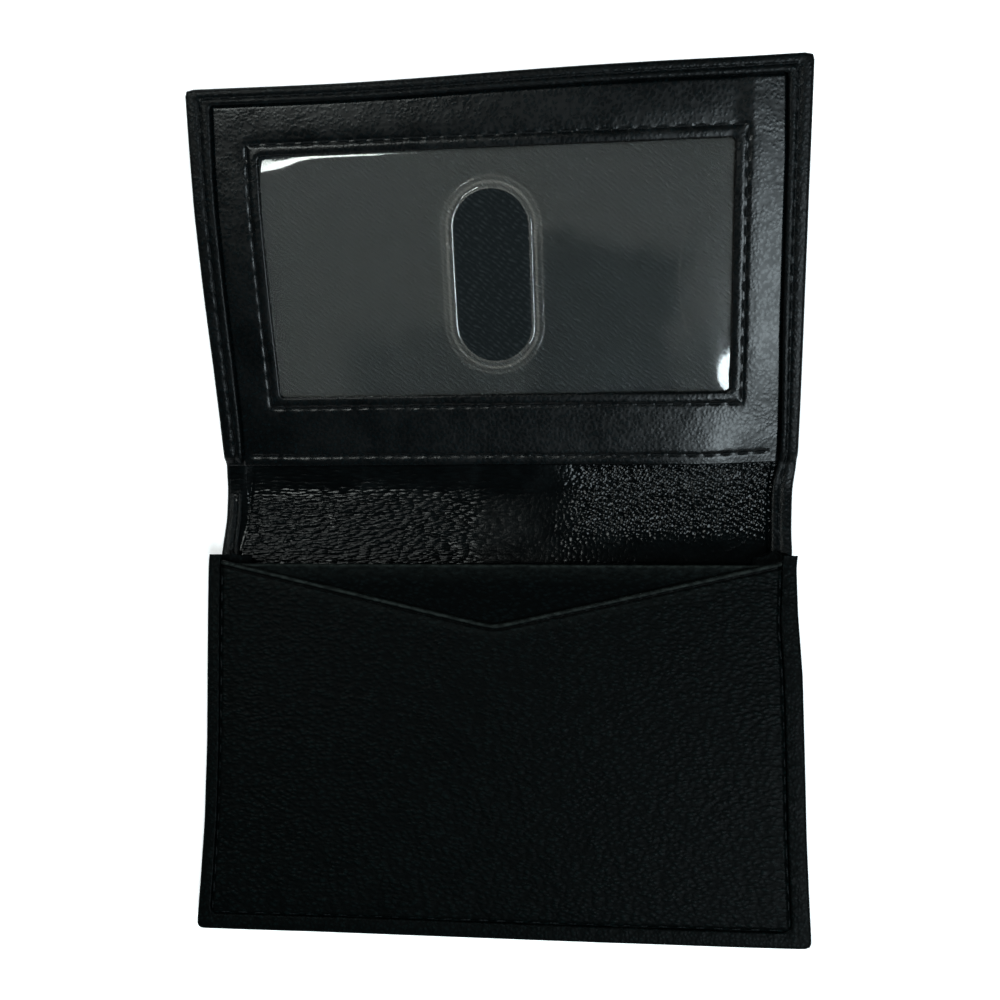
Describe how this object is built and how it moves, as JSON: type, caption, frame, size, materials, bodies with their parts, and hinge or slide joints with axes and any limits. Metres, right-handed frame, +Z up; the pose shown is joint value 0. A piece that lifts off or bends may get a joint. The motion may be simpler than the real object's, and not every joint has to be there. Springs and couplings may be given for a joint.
{
  "type": "bifold card wallet",
  "caption": "Open bifold leather card wallet: gusseted pocket with a V front and divider, flat spine, and a flap with a clear identity window.",
  "frame": {"origin": "on the surface that the wallet lies on, under the middle of its bounding box", "axes": "+X across the wallet to the right as the pocket is seen from its bottom edge, +Y from the pocket to the flap, +Z up"},
  "size_m": [0.104, 0.1442, 0.0298],
  "materials": {
    "black_leather": "satin pebbled grain",
    "glazed_lining_leather": "glazed, creased",
    "twill_lining": "matt woven twill",
    "clear_film": "clear, glossy",
    "black_thread": "twisted thread"
  },
  "bodies": {
    "pocket": {"pocket_shell": "black_leather", "pocket_lining": "glazed_lining_leather", "pocket_front": "black_leather", "pocket_divider": "black_leather", "gusset_left": "black_leather", "gusset_right": "black_leather", "gusset_seam_left": "black_thread", "gusset_seam_right": "black_thread", "pocket_edge_seam": "black_thread"},
    "spine": {"spine_shell": "black_leather", "spine_lining": "glazed_lining_leather", "spine_seam_left": "black_thread", "spine_seam_right": "black_thread"},
    "flap": {"flap_shell": "black_leather", "flap_lining_end": "glazed_lining_leather", "id_pocket_twill_lining": "twill_lining", "id_window_film": "clear_film", "id_window_panel": "black_leather", "flap_edge_seam": "black_thread", "id_window_seam": "black_thread", "id_hem_seam": "black_thread"}
  },
  "joints": [
    {"name": "lower_fold", "type": "hinge", "parent": "pocket", "child": "spine", "pos_m": [0, -0.00549, 0.002], "axis": [1, 0, 0], "range_deg": [0, 85]},
    {"name": "upper_fold", "type": "hinge", "parent": "spine", "child": "flap", "pos_m": [0, 0.00801, 0.00241], "axis": [1, 0, 0], "range_deg": [-23, 80]}
  ]
}
